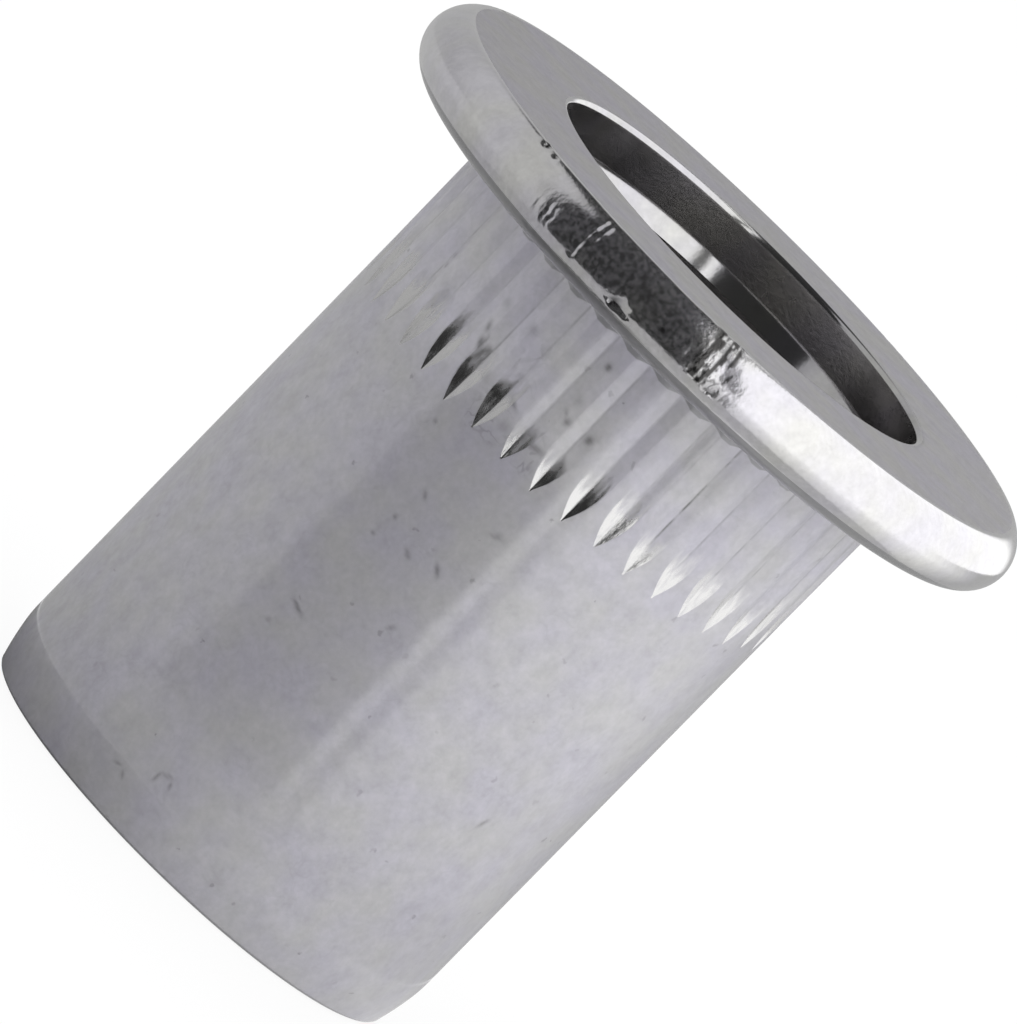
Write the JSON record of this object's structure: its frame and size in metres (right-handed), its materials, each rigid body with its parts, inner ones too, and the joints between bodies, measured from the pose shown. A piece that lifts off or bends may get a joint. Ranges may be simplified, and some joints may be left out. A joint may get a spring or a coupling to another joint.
{
  "type": "rivet nut",
  "caption": "Flat-head rivet nut with a round flange, a straight-grooved open-end shank and an internal metric thread at its lower end.",
  "frame": {"origin": "centre of the flat lower end face, on the axis of the thread", "axes": "+Z along the axis from the lower end to the flange; X and Y are alike, and a groove's middle lies on +X"},
  "size_m": [0.0158, 0.0158, 0.016],
  "materials": {
    "plated_steel": "bright zinc plate, satin with fine mottling"
  },
  "bodies": {
    "root": {"rivet_nut": "plated_steel"}
  },
  "joints": []
}
